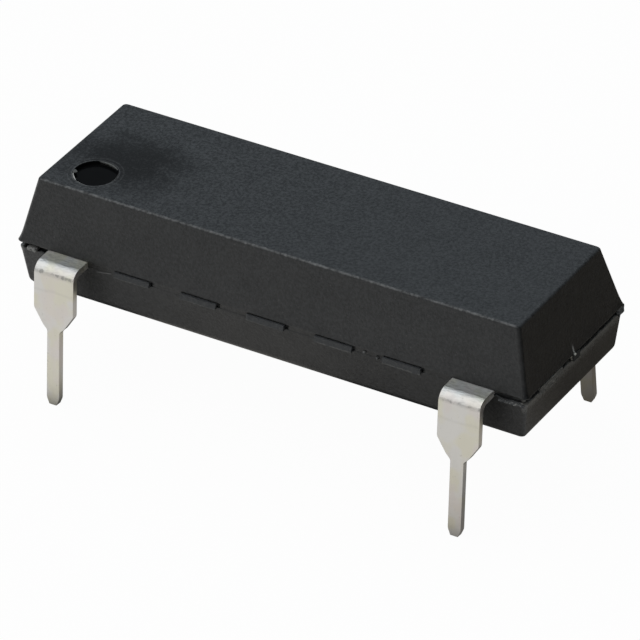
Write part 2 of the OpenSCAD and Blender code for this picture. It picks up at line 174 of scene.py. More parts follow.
class StudioSettings(PropertyGroup):
    """Camera and light."""
    azimuth: angle("Azimuth", "Turn of the camera from straight in front", 31.858)
    elevation: angle("Elevation", "Height of the camera over the horizon", 33.616)
    roll: angle("Roll", "Roll of the camera", -1.505)
    distance: length("Distance", "Distance of the camera from its target", 221.351)
    target_x: length("Target Place", "Place of the camera's target along the package", 0.015)
    target_z: length("Target Height", "Height of the camera's target", 3.2265)
    lens: FloatProperty(name="Lens", description="Focal length", default=381.88, unit="CAMERA")
    key_power: FloatProperty(name="Key", description="Power of the softbox in front",
                             default=0.88, unit="POWER")
    top_power: FloatProperty(name="Top", description="Power of the softbox overhead",
                             default=0.4, unit="POWER")
    paper: colour("Paper", "The floor", 0.88, 0.87, 0.85)
    room_dark: share("Dark Room", "Brightness of the room on the right", 0.06)
    room_bright: share("Bright Room", "Brightness of the room on the left", 0.5)
    floor_bright: share("Bright Floor", "Brightness of the floor that metal shows in front", 0.88)
    floor_dark: share("Dark Floor", "Brightness of the floor that metal shows behind", 0.12)


class OscillatorSettings(PropertyGroup):
    """All settings of the crystal oscillator."""
    moulding: PointerProperty(type=MouldingSettings)
    flash: PointerProperty(type=FlashSettings)
    leads: PointerProperty(type=LeadSettings)
    finish: PointerProperty(type=FinishSettings)
    studio: PointerProperty(type=StudioSettings)


def own_settings(group):
    """Names and definitions of a group's own settings."""
    return [(name, setting) for name, setting in group.bl_rna.properties.items()
            if name not in {"rna_type", "name"}]


def in_mm(group):
    """A group's values, its lengths in millimetres."""
    values = {}
    for name, setting in own_settings(group):
        value = getattr(group, name)
        values[name] = value / MM if getattr(setting, "unit", "") == "LENGTH" else value
    return SimpleNamespace(**values)


# Node trees
class Value:
    """A socket's value. Arithmetic on it adds Math nodes to its tree."""

    def __init__(self, nodes, socket):
        self.nodes = nodes
        self.socket = socket

    def __add__(self, other):
        return self.nodes.math("ADD", self, other)

    def __sub__(self, other):
        return self.nodes.math("SUBTRACT", self, other)

    def __rsub__(self, other):
        return self.nodes.math("SUBTRACT", other, self)

    def __mul__(self, other):
        return self.nodes.math("MULTIPLY", self, other)

    def __truediv__(self, other):
        return self.nodes.math("DIVIDE", self, other)

    __radd__ = __add__
    __rmul__ = __mul__

    def __abs__(self):
        return self.nodes.math("ABSOLUTE", self)

    def output(self, name):
        """Another output of the same node."""
        return Value(self.nodes, self.socket.node.outputs[name])


class Nodes:
    """A node tree that is being built."""

    def __init__(self, tree):
        self.tree = tree

    def add(self, kind, settings=None, sockets=None, output=0):
        """A new node's output. Its settings come first, then its sockets' values or links."""
        node = self.tree.nodes.new(kind)
        for name, value in (settings or {}).items():
            setattr(node, name, value)
        for key, value in (sockets or {}).items():
            socket = node.inputs[key] if isinstance(key, int) else next(
                s for s in node.inputs if s.enabled and s.name == key)
            for item in value if isinstance(value, list) else [value]:
                if isinstance(item, Value):
                    self.tree.links.new(item.socket, socket)
                else:
                    socket.default_value = item
        return Value(self, node.outputs[output]) if node.outputs else None

    def math(self, operation, *values):
        """What a Math node makes of some values."""
        return self.add("ShaderNodeMath", {"operation": operation}, dict(enumerate(values)))

    def vector_math(self, operation, first, second):
        """What a Vector Math node makes of two vectors."""
        return self.add("ShaderNodeVectorMath", {"operation": operation}, {0: first, 1: second})

    def clamp(self, value):
        """A value kept between 0 and 1."""
        return self.add("ShaderNodeClamp", sockets={"Value": value})

    def band(self, value, start, end):
        """Rises smoothly from 0 to 1 while value goes from start to end."""
        return self.add("ShaderNodeMapRange", {"interpolation_type": "SMOOTHSTEP"},
                        {"Value": value, "From Min": start, "From Max": end})

    def near(self, value, middle, full, none):
        """1 while value is within full of middle, falling smoothly to 0 at none from it."""
        return self.band(abs(value - middle), none, full)

    def mix(self, factor, first, second):
        """A colour between two colours."""
        return self.add("ShaderNodeMix", {"data_type": "RGBA"},
                        {0: factor, 6: opaque(first), 7: opaque(second)}, output=2)

    def vector(self, **parts):
        """A vector of parts named x, y or z. A part that isn't named is 0."""
        return self.add("ShaderNodeCombineXYZ",
                        sockets={name.upper(): value for name, value in parts.items()})

    def split(self, vector):
        """The three parts of a vector."""
        parts = self.add("ShaderNodeSeparateXYZ", sockets={"Vector": vector})
        return parts, parts.output("Y"), parts.output("Z")

    def scaled(self, vector, scale):
        """A vector with all its parts scaled alike."""
        return self.add("ShaderNodeVectorMath", {"operation": "SCALE"},
                        {0: vector, "Scale": scale})

    def stretched(self, vector, x, y, z):
        """A vector with each of its parts scaled."""
        return self.vector_math("MULTIPLY", vector, (x, y, z))

    def object_place(self):
        """Object coordinates in millimetres, as a vector."""
        return self.scaled(self.add("ShaderNodeTexCoord").output("Object"), 1 / MM)

    def noise(self, vector, scale, detail=2.0, roughness=0.5):
        """Noise with features of about 1 / scale millimetres."""
        return self.add("ShaderNodeTexNoise", sockets={
            "Vector": vector, "Scale": scale, "Detail": detail, "Roughness": roughness})

    def bump(self, height, millimetres, below=None):
        """A bumped normal, over another one if there is one below."""
        sockets = {"Height": height, "Distance": millimetres * MM}
        if below:
            sockets["Normal"] = below
        return self.add("ShaderNodeBump", sockets=sockets)


def opaque(value):
    """A colour with its alpha, or a link as it is."""
    return value if isinstance(value, Value) else (*value[:3], 1)


def socket_name(keyword):
    """The name of a shader's socket."""
    return keyword.replace("_", " ").title().replace("Ior", "IOR")


def new_material(name, **constants):
    """A material's nodes and its shader, with what is the same all over already set."""
    material = bpy.data.materials.new(name)
    material.use_nodes = True
    shader = material.node_tree.nodes["Principled BSDF"]
    for keyword, value in constants.items():
        shader.inputs[socket_name(keyword)].default_value = value
    return material, Nodes(material.node_tree), shader


def feed(nodes, shader, **values):
    """Links what changes over the surface to the shader."""
    for keyword, value in values.items():
        nodes.tree.links.new(value.socket, shader.inputs[socket_name(keyword)])


def emptied_nodes(owner):
    """The nodes of a material or a world, which has none yet."""
    owner.use_nodes = True
    owner.node_tree.nodes.clear()
    return Nodes(owner.node_tree)


def geometry_tree(name, inputs):
    """A new geometry node tree with named inputs, and the value of each input."""
    tree = bpy.data.node_groups.new(name, "GeometryNodeTree")
    tree.is_modifier = True
    tree.interface.new_socket(name="Geometry", in_out="OUTPUT",
                              socket_type="NodeSocketGeometry")
    for label, kind in inputs.items():
        tree.interface.new_socket(name=label, in_out="INPUT", socket_type="NodeSocket" + kind)
    nodes = Nodes(tree)
    source = tree.nodes.new("NodeGroupInput")
    return nodes, {label: Value(nodes, source.outputs[label]) for label in inputs}


def end_tree(nodes, into, geometry, place):
    """Ends a geometry node tree: sets what it made in place, as real meshes in their material."""
    placed = nodes.add("GeometryNodeTransform", sockets={
        "Geometry": geometry, "Translation": place, "Rotation": nodes.vector(z=into["Turn"])})
    real = nodes.add("GeometryNodeRealizeInstances", sockets={"Geometry": placed})
    dressed = nodes.add("GeometryNodeSetMaterial",
                        sockets={"Geometry": real, "Material": into["Material"]})
    nodes.add("NodeGroupOutput", sockets={"Geometry": dressed})
    return nodes.tree


# Meshes
# Distance within which points are one point, in millimetres
MERGE = 0.0005
# Largest angle between faces that are shaded as one surface
SMOOTH_ANGLE = math.radians(35)
# Upward part of the normal from which a face lies flat
FLAT = 0.999
# Corners of a rectangle, anticlockwise from above
CORNERS = ((1, 1), (-1, 1), (-1, -1), (1, -1))


def new_object(name, data):
    """A new object in the scene."""
    made = bpy.data.objects.new(name, data)
    bpy.context.collection.objects.link(made)
    return made


def scratch_object(mesh):
    """An object that holds a mesh while modifiers work on it."""
    return new_object("scratch", mesh)


def evaluated_mesh(holder):
    """The plain mesh that an object's modifiers make. The object is removed."""
    graph = bpy.context.evaluated_depsgraph_get()
    graph.update()
    mesh = bpy.data.meshes.new_from_object(holder.evaluated_get(graph),
                                           preserve_all_data_layers=True, depsgraph=graph)
    bpy.data.objects.remove(holder)
    return mesh


def run_tree(tree, mesh, values):
    """The mesh that a geometry node tree makes from a mesh, with these values as its inputs."""
    holder = scratch_object(mesh)
    modifier = holder.modifiers.new("tree", "NODES")
    modifier.node_group = tree
    for item in tree.interface.items_tree:
        if item.in_out == "INPUT" and item.name in values:
            modifier[item.identifier] = values[item.name]
    return evaluated_mesh(holder)


def combine(mesh, operation, tools):
    """A closed mesh joined with closed tool meshes, or cut by them."""
    base = scratch_object(mesh)
    holders = [scratch_object(tool) for tool in tools]
    for holder in holders:
        modifier = base.modifiers.new("combine", "BOOLEAN")
        modifier.operation = operation
        modifier.solver = "EXACT"
        modifier.material_mode = "TRANSFER"
        modifier.object = holder
    made = evaluated_mesh(base)
    for holder in holders:
        bpy.data.objects.remove(holder)
    return made


def mesh_of(bm, material=None):
    """A bmesh as a mesh in one material."""
    mesh = bpy.data.meshes.new("scratch")
    bm.to_mesh(mesh)
    bm.free()
    if material:
        mesh.materials.append(material)
    return mesh


def solid_copy(node):
    """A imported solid's mesh, merged and in millimetres."""
    bm = bmesh.new()
    bm.from_mesh(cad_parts[node].data)
    bmesh.ops.scale(bm, vec=(1 / MM,) * 3, verts=bm.verts)
    bmesh.ops.remove_doubles(bm, verts=bm.verts, dist=MERGE)
    return bm


def join_rings(bm, rings):
    """Faces between neighbouring rings of as many points."""
    for lower, upper in zip(rings, rings[1:]):
        for k in range(len(lower)):
            n = (k + 1) % len(lower)
            bm.faces.new((lower[k], lower[n], upper[n], upper[k]))


def cap_rings(bm, rings):
    """Faces that close the first and the last ring."""
    bm.faces.new(rings[0][::-1])
    bm.faces.new(rings[-1])


def face_outwards(bm):
    """Turns a closed mesh's faces outwards."""
    bmesh.ops.recalc_face_normals(bm, faces=bm.faces)


def finish_piece(name, mesh, slot, *nodes):
    """Shades a mesh, brings it to metres and makes it the piece that stands for some solids."""
    mesh.polygons.foreach_set("use_smooth", [True] * len(mesh.polygons))
    mesh.set_sharp_from_angle(angle=SMOOTH_ANGLE)
    holder = scratch_object(mesh)
    weighted = holder.modifiers.new("normals", "WEIGHTED_NORMAL")
    weighted.keep_sharp = True
    weighted.weight = 100
    mesh = evaluated_mesh(holder)
    mesh.transform(Matrix.Scale(MM, 4))
    mesh.name = name
    piece = new_object(name, mesh)
    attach(piece, BODY)
    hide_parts(*nodes)


def dress(node, material):
    """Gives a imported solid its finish."""
    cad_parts[node].material_slots[0].material = material


# Finishes
# Middle of a darker patch of the top face, beside the mark
DARK_PATCH = (-5.5, -0.5, BODY_HIGH.z)
# Radius of the faint ring of painted highlight round the mark
FAINT_RING = 0.92
# Middle of a hair scratch on the front wall, its distance under the parting plane and its slope
SCRATCH_X = -6.26
SCRATCH_DROP = 0.235
SCRATCH_SLOPE = 0.19
# Place across the ends of the painted glint where the tie bars were cut
TIE_GLINT_Y = -0.1
# Heights of the broken dark line under each bend and of the faint edge where dipping stopped
DARK_LINE_Z = 4.95
DIP_Z = 4.1
# Heights between which the strained surface of the bends starts
STRAINED_Z = (4.84, 4.94)
# Cloudy tints of the tin
WARM = (1.0, 0.985, 0.88)
ROSY = (1.0, 0.955, 0.95)


def grey(level):
    """A neutral colour."""
    return level, level, level


def shaded(colour_value, factor):
    """A colour made darker or lighter."""
    return [c * factor for c in colour_value]


def tinted(colour_value, tint):
    """A colour with a tint over it."""
    return [c * t for c, t in zip(colour_value, tint)]


def painted_edge_highlights(nodes, place, size):
    """Painted highlights on the rounded edges round the top face, most along its long sides."""
    x, y, z = nodes.split(place)
    inset = (BODY_HIGH.z - PARTING_Z) * math.tan(size.upper_draft)
    ragged = nodes.noise(place, 6.0, 4.0, 0.7) * 0.08
    long_crest = BODY_HIGH.z + size.rim_width / 2 - inset
    end_crest = BODY_HIGH.z + RIM_HALF_LENGTH - inset
    along = nodes.band(abs(y) + z + ragged, long_crest - 0.02, long_crest + 0.02)
    across = nodes.band(abs(x) + z + ragged, end_crest - 0.03, end_crest + 0.02)
    return nodes.math("MAXIMUM", along, across * 0.25)


def painted_mark_highlights(nodes, place, size, grain):
    """Painted highlights on the mark's mouth and on the faint ring round it, in places."""
    middle = mark_place(size)
    flat = nodes.stretched(place, 1.0, 1.0, 0.0)
    across = nodes.vector_math("DISTANCE", flat, (middle.x, middle.y, 0)).output("Value")
    mouth = nodes.near(across, size.mark_width / 2 + 0.01, 0.01, 0.035)
    outer = nodes.near(across, FAINT_RING, 0.0, 0.04) * 0.5
    top = nodes.band(nodes.split(place)[2], BODY_HIGH.z - 0.06, BODY_HIGH.z - 0.03)
    return (mouth + outer) * nodes.band(grain, 0.3, 0.55) * top


def light_grains(nodes, place):
    """A few light grains of filler at the surface."""
    cells = nodes.add("ShaderNodeTexVoronoi", sockets={"Vector": place, "Scale": 5.5})
    few = nodes.band(nodes.split(cells.output("Color"))[0], 0.86, 0.9)
    return nodes.band(cells, 0.16, 0.08) * few


def hair_scratch(nodes, place):
    """A fine slanting scratch on the front wall."""
    x, y, z = nodes.split(place)
    line = nodes.near(z - (x - SCRATCH_X) * SCRATCH_SLOPE, PARTING_Z - SCRATCH_DROP, 0.01, 0.025)
    return line * nodes.band(y, -3.0, -3.1) * nodes.near(x, SCRATCH_X, 0.25, 0.32)


def tie_scuff(nodes, place, fine):
    """A pale scuff on the wall over the cut tie bar."""
    _, y, z = nodes.split(place)
    return (nodes.near(y, TIE_GLINT_Y, 0.03, 0.05)
            * nodes.band(z, PARTING_Z + 0.38, PARTING_Z + 0.1)
            * nodes.band(z, PARTING_Z - 0.02, PARTING_Z) * nodes.band(fine, 0.3, 0.5))


def compound_finish(finish, size):
    """Filled epoxy: a fine grain, clouds, light grains, what mould and tools left on it, and
    painted highlights on the top edges and round the mark.
    """
    material, nodes, shader = new_material(
        "moulding_compound", ior=1.42, coat_roughness=0.34, specular_tint=(0.95, 0.975, 1, 1))
    place = nodes.object_place()
    x, _, z = nodes.split(place)
    clouds = nodes.noise(place, 1.2, 3.0)
    grain = nodes.noise(place, 10.0, 4.0, 0.7)
    fine = nodes.noise(place, 24.0)
    from_patch = nodes.vector_math("DISTANCE", nodes.stretched(place, 0.8, 1.0, 1.0), DARK_PATCH)
    patch = nodes.band(from_patch.output("Value") + clouds * 1.6, 3.1, 1.3)
    end = nodes.band(abs(x), RIM_HALF_LENGTH - 0.25, RIM_HALF_LENGTH - 0.15)
    under = nodes.band(z, PARTING_Z + 0.02, PARTING_Z)
    face = nodes.band(z, BODY_HIGH.z - 0.1, BODY_HIGH.z - 0.03)
    # A lighter ragged strip on the end walls just under the seam
    end_light_strip = end * under * nodes.band(z + grain + fine * 0.5, PARTING_Z + 0.1, PARTING_Z + 0.5)
    tone = (nodes.band(grain, 0.3, 0.7) * 1.3 + 0.35) * (1.0 - patch * 0.5)
    base = nodes.scaled(finish.compound, tone)
    for mask, light in (
            (light_grains(nodes, place) * 0.4, grey(0.08)),
            (hair_scratch(nodes, place) * 0.8, grey(0.12)),
            (end_light_strip, (0.1, 0.097, 0.09)),
            # Painted highlights round the mark
            (painted_mark_highlights(nodes, place, size, grain) * 0.5, grey(0.13)),
            # Painted highlights along the top edges
            (painted_edge_highlights(nodes, place, size) * 0.9, grey(0.18)),
            (end * tie_scuff(nodes, place, fine) * 0.9, finish.pale_flash_and_highlight)):
        base = nodes.mix(mask, base, light)
    roughness = nodes.band(grain, 0.0, 1.0) * 0.12 + face * 0.1 + patch * 0.3 + 0.28
    mottle = nodes.band(grain, 0.35, 0.65) - 0.5
    # The top face is mottled more strongly near the mark than at the far end
    coarse = 0.5 - nodes.band(x, -4.0, 5.0) * 0.2
    gloss = nodes.clamp(mottle * (face * coarse + 0.15) + nodes.band(clouds, 0.3, 0.7) * 0.1
                        + 0.24 - patch * 0.4 - under * 0.08)
    feed(nodes, shader, base_color=base, roughness=roughness, coat_weight=gloss,
         normal=nodes.bump(fine, 0.01, nodes.bump(grain, 0.024)))
    return material


def mark_finish(finish):
    """The polished floor of the lead 1 mark, painted darker than the compound as shade."""
    material, nodes, shader = new_material("mark_floor", ior=1.1)
    place = nodes.object_place()
    smear = nodes.noise(place, 3.0)
    # Painted shade: the floor takes 0.4 to 0.6 of the compound's colour
    base = nodes.mix(smear, shaded(finish.compound, 0.4), shaded(finish.compound, 0.6))
    feed(nodes, shader, base_color=base, roughness=nodes.band(smear, 0.2, 0.8) * 0.06 + 0.12,
         normal=nodes.bump(nodes.noise(place, 12.0), 0.0006))
    return material


def broken_finish(finish, name, light, light_share, edge_z):
    """Epoxy broken open, dull and coarse: dark, with light crumbs and a light edge at a height."""
    material, nodes, shader = new_material(name, ior=1.45)
    place = nodes.object_place()
    lumps = nodes.noise(place, 14.0, 4.0, 0.7)
    edge = nodes.band(nodes.split(place)[2] + lumps * 0.06, edge_z + 0.075, edge_z + 0.045)
    crumbs = nodes.band(lumps, 0.7 - 0.5 * light_share, 1.0 - 0.5 * light_share)
    broken = nodes.band(nodes.noise(place, 4.0), 0.38, 0.5) * 0.75
    base = nodes.mix(nodes.math("MAXIMUM", crumbs * light_share, edge * broken),
                     shaded(finish.compound, 5.0), light)
    feed(nodes, shader, base_color=base, roughness=lumps * 0.3 + 0.45,
         normal=nodes.bump(lumps, 0.02))
    return material


def plating_finish(finish, size):
    """Dull tin plating: tinted clouds, pits, drawn marks, what bending and cutting left, and a
    painted glint on each cut end.
    """
    material, nodes, shader = new_material("tin_plating")
    place = nodes.object_place()
    x, y, z = nodes.split(place)
    outward = abs(y)
    clouds = nodes.noise(place, 1.1)
    other = nodes.noise(nodes.stretched(place, -1.0, 1.0, 0.6), 1.5)
    drawn = nodes.noise(nodes.stretched(place, 14.0, 14.0, 1.2), 1.0, 3.0, 0.6)
    pits = nodes.band(nodes.noise(place, 7.0), 0.66, 0.76)
    ragged = nodes.noise(place, 6.0, 3.0, 0.6)
    base = nodes.mix(nodes.band(clouds, 0.42, 0.58), finish.plating, tinted(finish.plating, WARM))
    base = nodes.mix(nodes.band(other, 0.5, 0.65) * 0.7, base, tinted(finish.plating, ROSY))
    # A broken dark line under the bend, and the faint edge of the dip
    patchy = nodes.noise(nodes.stretched(place, 3.5, 1.0, 1.0), 1.0, 3.0, 0.6)
    dark_line = nodes.near(z + ragged * 0.2, DARK_LINE_Z, 0.015, 0.06) * nodes.band(patchy, 0.44, 0.58)
    step = nodes.near(z - clouds * 0.2, DIP_Z, 0.0, 0.09) * 0.09
    # The flat part before the bend and the bend are strained along their length
    bare = nodes.band(outward + ragged * 0.06, 3.44, 3.4)
    shelf = nodes.band(outward, size.bend_line, size.bend_line - 0.05)
    strained = nodes.noise(nodes.stretched(place, 4.0, 13.0, 13.0), 1.0, 4.0, 0.75)
    over_bend = nodes.band(z + ragged * 0.1, *STRAINED_Z)
    streaks = nodes.band(strained, 0.46, 0.58) * over_bend
    marks = nodes.clamp(pits * 0.15 + dark_line * 0.5 + step + streaks * (shelf * 0.2 + 0.08))
    base = nodes.mix(marks, base, shaded(finish.plating, 0.35))
    # The cut ends of the tie bars are dark and dull, each with a painted glint: a stripe kept
    # bright and not metallic
    cut = nodes.band(abs(x), RIM_HALF_LENGTH - 0.02, RIM_HALF_LENGTH)
    cut_glint = (cut * nodes.band(z, PARTING_Z - 0.06, PARTING_Z - 0.02)
            * nodes.near(y, TIE_GLINT_Y, 0.04, 0.06))
    base = nodes.mix(cut - cut_glint, base, finish.sheared)
    roughness = (nodes.band(drawn, 0.2, 0.8) * 0.1 + pits * 0.1 + bare * 0.12 + dark_line * 0.2
                 + cut * 0.2 + streaks * 0.05 + shelf * 0.14 + 0.3)
    normal = nodes.bump(drawn, 0.003, nodes.bump(nodes.noise(place, 5.0, 3.0), 0.006))
    feed(nodes, shader, base_color=base, roughness=roughness, metallic=1.0 - cut * 0.9,
         normal=nodes.bump(over_bend * strained, 0.015, normal))
    return material


def metal_finish(name, colour_value, rough, stretch):
    """A drawn or plated metal with marks along one direction."""
    material, nodes, shader = new_material(name, metallic=1.0)
    place = nodes.object_place()
    drawn = nodes.noise(nodes.stretched(place, *stretch), 1.0, 3.0, 0.6)
    clouds = nodes.noise(place, 1.5)
    base = nodes.mix(nodes.band(clouds, 0.3, 0.7), shaded(colour_value, 0.88), colour_value)
    feed(nodes, shader, base_color=base, roughness=nodes.band(drawn, 0.2, 0.8) * 0.15 + rough,
         normal=nodes.bump(drawn, 0.003))
    return material


def adhesive_finish(finish):
    """Silver-filled epoxy: dull flakes."""
    material, nodes, shader = new_material("silver_adhesive")
    flakes = nodes.add("ShaderNodeTexVoronoi",
                       sockets={"Vector": nodes.object_place(), "Scale": 30.0})
    light = nodes.split(flakes.output("Color"))[0]
    base = nodes.mix(light, shaded(finish.silver, 0.7), finish.silver)
    feed(nodes, shader, base_color=base, metallic=light * 0.5 + 0.3, roughness=light * 0.2 + 0.45,
         normal=nodes.bump(flakes, 0.006))
    return material


def die_finish(finish):
    """Polished silicon with blocks and lines of circuit."""
    material, nodes, shader = new_material("circuit_silicon", coat_weight=0.4)
    place = nodes.object_place()
    blocks = nodes.add("ShaderNodeTexBrick", {"offset": 0.35}, {
        "Vector": place, "Scale": 7.0, "Color1": opaque(finish.silicon),
        "Color2": opaque(shaded(finish.silicon, 2.2)),
        "Mortar": (0.35, 0.3, 0.2, 1), "Mortar Size": 0.03})
    lines = nodes.add("ShaderNodeTexBrick", {"offset": 0.5}, {
        "Vector": place, "Scale": 31.0, "Color1": (1, 1, 1, 1), "Color2": (0.5, 0.55, 0.6, 1),
        "Mortar": (0.3, 0.3, 0.35, 1)})
    base = nodes.add("ShaderNodeMix", {"data_type": "RGBA", "blend_type": "MULTIPLY"},
                     {0: 0.7, 6: blocks, 7: lines}, output=2)
    feed(nodes, shader, base_color=base, roughness=nodes.noise(place, 8.0) * 0.1 + 0.15)
    return material


def glass_finish(name, colour_value, transmission, rough, ior):
    """Glass or quartz with faint cords in it."""
    material, nodes, shader = new_material(name, ior=ior, transmission_weight=transmission)
    place = nodes.object_place()
    cords = nodes.noise(nodes.stretched(place, 0.6, 3.0, 3.0), 1.0, 3.0)
    base = nodes.mix(cords, shaded(colour_value, 0.85), colour_value)
    feed(nodes, shader, base_color=base, roughness=cords * 0.1 + rough,
         normal=nodes.bump(nodes.noise(place, 9.0), 0.002))
    return material


# Moulded body
# Steps along the long and short sides, round each upright corner and round each rounded edge
SIDE_STEPS = (190, 62)
CORNER_STEPS = 8
EDGE_STEPS = 7
# Width of the band beside a rounded edge that keeps the flat faces flat
EDGE_BAND = 0.03
# Length over which the seam opens, and how open it is over the stubs
SEAM_FADE = 0.08
SLOT_SHARE = 0.25
# How far the rim steps in at the seam's edges
SEAM_EDGE = 0.01
# Least depth of the seam where it is closed, and least wall behind it at the corners
CLOSED_SEAM = 0.004
CORNER_WALL = 0.03


def plan_points(half_length, half_width, radius):
    """Points and outward directions round a rounded rectangle, anticlockwise from above."""
    points = []
    for k, (sx, sy) in enumerate(CORNERS):
        middle = Vector((sx * (half_length - radius), sy * (half_width - radius)))
        for i in range(CORNER_STEPS + 1):
            turn = math.radians(90) * (k + i / CORNER_STEPS)
            out = Vector((math.cos(turn), math.sin(turn)))
            points.append((middle + radius * out, out))
        start, out = points[-1]
        sx, sy = CORNERS[(k + 1) % 4]
        end = Vector((sx * (half_length - radius), sy * (half_width - radius))) + radius * out
        steps = SIDE_STEPS[k % 2]
        points.extend((start.lerp(end, i / steps), out) for i in range(1, steps))
    return points


def smooth(value, start, end):
    """Rises smoothly from 0 to 1 while value goes from start to end."""
    t = min(max((value - start) / (end - start), 0), 1)
    return t * t * (3 - 2 * t)


def wander(place, scale, seed):
    """Noise from about -1 to 1 over the plan."""
    return noise.noise(Vector((place.x * scale, place.y * scale, seed)))


def seam_share(place, size, flash, lead_edge):
    """How open the seam under the rim is: 1 at the ends, less over the stubs, else 0."""
    slot = flash.stub_width / 2 + 0.01
    from_side = size.rim_width / 2 - abs(place.y)
    if abs(place.x) > lead_edge or from_side > 0.3:
        # At the far end the seam closes towards the sides
        closed = 0.65 * smooth(from_side, 0.4, 0.05) if place.x > 0 else 0
        return smooth(abs(place.x), lead_edge, lead_edge + SEAM_FADE) * (1 - closed)
    nearest = abs(place.x - LEAD_PITCH * round(place.x / LEAD_PITCH))
    if abs(place.x) < END_LEAD_X - LEAD_PITCH / 2:
        return SLOT_SHARE * smooth(nearest, slot + SEAM_FADE / 2, slot)
    return 0


def seam_depth(place, size, share_open):
    """Depth of the seam at a place on the rim."""
    depth = size.seam_depth * share_open * (0.9 + 0.4 * wander(place, 2.5, 8.5))
    from_corner = max(RIM_HALF_LENGTH - abs(place.x), size.rim_width / 2 - abs(place.y))
    # Deeper than the corner's radius, the seam would turn inside out there
    return min(max(depth, CLOSED_SEAM), max(from_corner, size.corner_radius) - CORNER_WALL)


def lip_reach(place, out, size):
    """How far flash stands out of the rim: most at the corners of the ends."""
    end = smooth(abs(place.x), RIM_HALF_LENGTH - 0.35, RIM_HALF_LENGTH - 0.1)
    corner = end * smooth(abs(place.y), size.rim_width / 2 - 0.5, size.rim_width / 2 - 0.15)
    ragged = 0.75 + 0.5 * wander(place, 3.0, 4.5) + 0.25 * wander(place, 9.0, 2.5)
    return min(size.lip * (0.7 * end * abs(out.x) + 0.9 * corner) * ragged, 1.4 * size.lip)


def rounded_edge(radius):
    """Distance from the face and inset of each point round a rounded edge, from the wall on."""
    turns = [math.radians(90) * i / EDGE_STEPS for i in range(EDGE_STEPS + 1)]
    return [(radius * (1 - math.sin(turn)), radius * (1 - math.cos(turn))) for turn in turns]


def body_rings(size):
    """Height, inset, share of the seam's depth and share of the lip of each ring, upwards."""
    def below(height, inset=0.0, seam=0, lip=0.0):
        return height, (PARTING_Z - height) * math.tan(size.lower_draft) + inset, seam, lip

    def above(height, inset=0.0, seam=0, lip=0.0):
        return height, (height - PARTING_Z) * math.tan(size.upper_draft) + inset, seam, lip

    def on_face(ring):
        return ring[0], ring[1] + EDGE_BAND, 0, 0

    foot = size.bottom_edge
    brow = size.top_edge
    seam_floor = PARTING_Z - size.seam_height
    rings = [below(BODY_LOW.z + rise, inset) for rise, inset in reversed(rounded_edge(foot))]
    rings.append(below(BODY_LOW.z + foot + EDGE_BAND))
    rings.extend(below(seam_floor - drop, lip=1.6 * (0.25 - drop)) for drop in (0.25, 0.12, 0.05))
    rings.append(below(seam_floor, SEAM_EDGE, lip=0.3))
    rings.append(below(seam_floor, SEAM_EDGE, seam=1))
    rings.append(above(PARTING_Z, SEAM_EDGE, seam=1))
    rings.append(above(PARTING_Z, SEAM_EDGE, lip=0.8))
    rings.extend(above(PARTING_Z + rise, lip=lip) for rise, lip in (
        (0.03, 1), (0.08, 0.75), (0.16, 0.4), (0.3, 0.1), (0.45, 0)))
    rings.append(above(BODY_HIGH.z - brow - EDGE_BAND))
    rings.extend(above(BODY_HIGH.z - drop, inset) for drop, inset in rounded_edge(brow))
    return [on_face(rings[0]), *rings, on_face(rings[-1])]


def moulding_skin(size, flash, leads, material):
    """The body's outer skin as one closed mesh, lofted through its rings."""
    rim = plan_points(RIM_HALF_LENGTH, size.rim_width / 2, size.corner_radius)
    lead_edge = END_LEAD_X + leads.shoulder_width / 2
    seams = [seam_depth(p, size, seam_share(p, size, flash, lead_edge)) for p, _ in rim]
    lips = [lip_reach(p, out, size) for p, out in rim]
    # The seam's lower edge is ragged where the seam is open
    seam_floor = PARTING_Z - size.seam_height
    rags = [max(0.08 * wander(p, 5.0, 6.5), -0.04) * min(seam / 0.1, 1)
            for (p, _), seam in zip(rim, seams)]
    bm = bmesh.new()
    rings = []
    for height, inset, seam, lip in body_rings(size):
        plan = plan_points(RIM_HALF_LENGTH - inset, size.rim_width / 2 - inset,
                           size.corner_radius)
        ring = []
        for i, (p, out) in enumerate(plan):
            p = p + out * (lips[i] * lip - seams[i] * seam)
            ragged = rags[i] if height == seam_floor else 0
            ring.append(bm.verts.new((p.x, p.y, height + ragged)))
        rings.append(ring)
    join_rings(bm, rings)
    cap_rings(bm, rings)
    return mesh_of(bm, material)


# Steps round the mark, round its eased mouth and along each burr
MARK_STEPS = 96
MOUTH_STEPS = 4
BURR_STEPS = 24
# Radius of the mouth's eased edge, and how far the cutters stand over the top face
MOUTH_EASE = 0.04
CUTTER_TOP = 0.3
# Middle radius, half width and depth of the faint groove round the mark, and its shift
GROOVE_RADIUS = 0.885
GROOVE_HALF = 0.025
GROOVE_DEPTH = 0.02
GROOVE_SHIFT = Vector((-0.04, -0.06, 0))
# How far a burr is rooted in the mouth's wall
BURR_ROOT = 0.02
# Burrs: first and last bearing in degrees, width, extra width in the middle, and if it is pale.
# Their light colour is a painted highlight
BURRS = (
    (-158, -114, 0.025, 0.045, True),
    (-118, -84, 0.025, 0.01, True),
    (-172, -154, 0.04, 0.12, False),
    (46, 112, 0.035, 0.05, False),
    (-30, 34, 0.025, 0.01, False),
)


def mark_place(size):
    """Middle of the mark on the top face."""
    return Vector((size.mark_from_end - RIM_HALF_LENGTH, -size.mark_from_middle, BODY_HIGH.z))


def turned_rings(bm, place, profile):
    """Rings of points round an upright axis, one for each radius and height of a profile."""
    turns = [math.tau * k / MARK_STEPS for k in range(MARK_STEPS)]
    return [[bm.verts.new(place + Vector((radius * math.cos(t), radius * math.sin(t), height)))
             for t in turns] for radius, height in profile]


